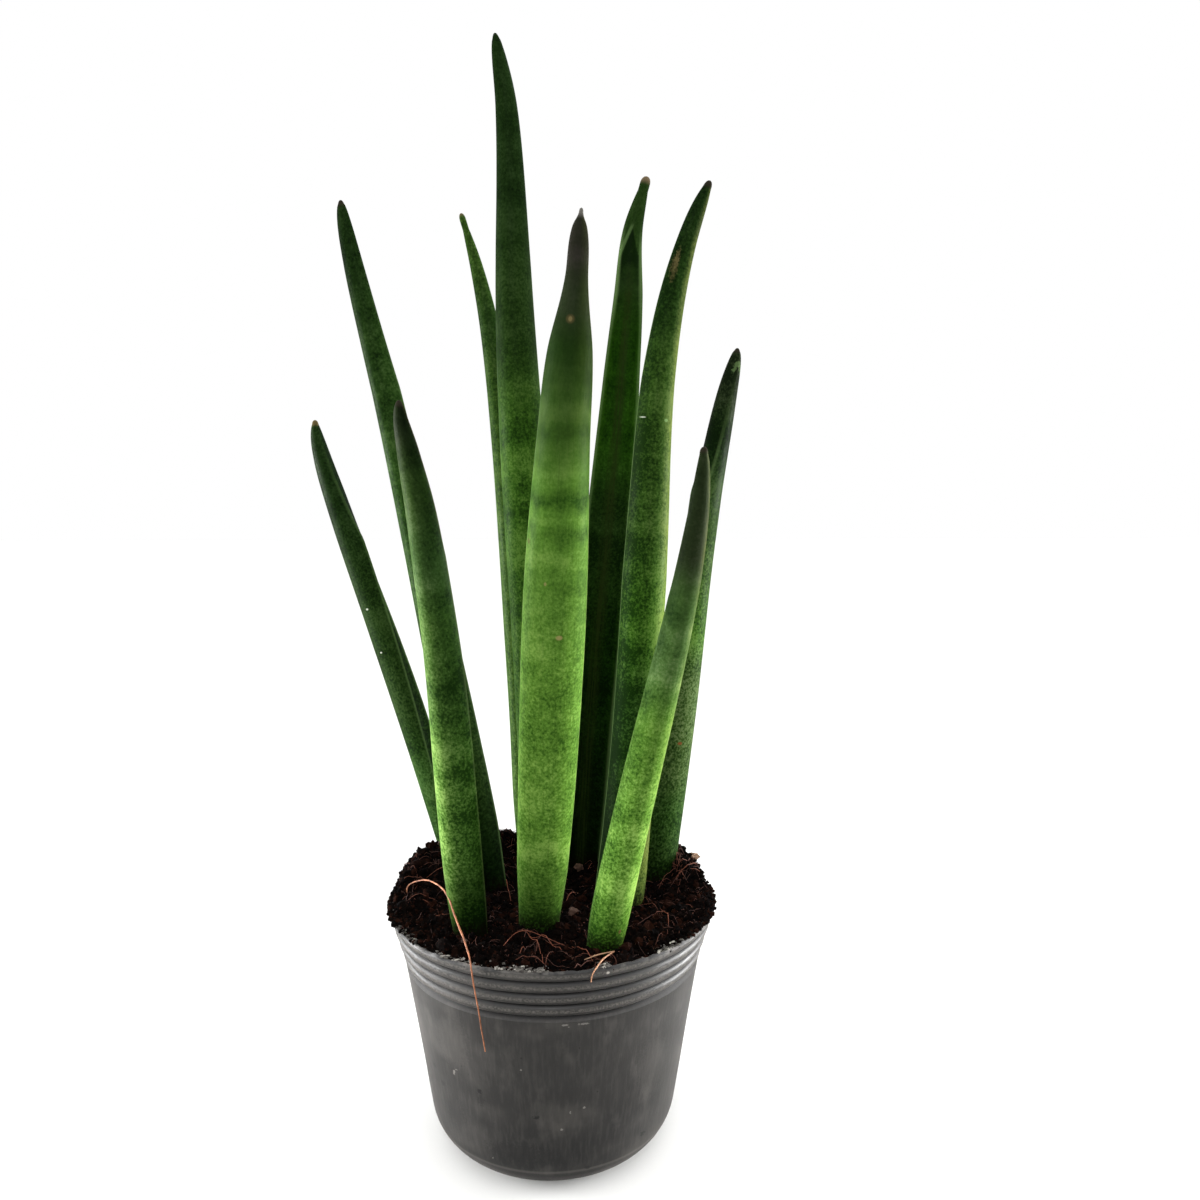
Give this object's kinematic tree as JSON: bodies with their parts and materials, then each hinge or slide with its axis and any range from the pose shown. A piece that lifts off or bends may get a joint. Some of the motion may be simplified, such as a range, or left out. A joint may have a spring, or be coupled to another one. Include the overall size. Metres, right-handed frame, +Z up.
{
  "type": "potted cylindrical snake plant",
  "caption": "Cylindrical snake plant: upright, channelled, spear-shaped leaves rising from dark peat in a ribbed, tapered plastic nursery pot.",
  "frame": {"origin": "centre of the pot's flat underside", "axes": "+Z up, towards the leaf tips; the leaves lean towards -Y, which is the plant's front; +X to the right seen from the front"},
  "size_m": [0.1632, 0.1367, 0.4052],
  "materials": {
    "pot_plastic": "thermoformed matt dark grey polypropylene with rolled ribs",
    "peat": "dark peat and coir crumb",
    "leaf_skin": "semi-gloss succulent skin, green with darker cross bands and a pale margin line",
    "rhizome_skin": "papery tan rhizome skin",
    "coir": "dry orange-brown coir fibre"
  },
  "bodies": {
    "root": {"pot": "pot_plastic", "soil": "peat", "leaf_far_left": "leaf_skin", "leaf_tall_left": "leaf_skin", "leaf_front_left": "leaf_skin", "leaf_slim_back": "leaf_skin", "leaf_tallest": "leaf_skin", "leaf_broad_front": "leaf_skin", "leaf_channelled": "leaf_skin", "leaf_tall_right": "leaf_skin", "leaf_front_right": "leaf_skin", "leaf_far_right": "leaf_skin", "rhizome_left": "rhizome_skin", "rhizome_middle": "rhizome_skin", "rhizome_right": "rhizome_skin", "coir_fibre_long": "coir", "coir_fibre_forked": "coir", "coir_fibre_bent": "coir"}
  },
  "joints": []
}
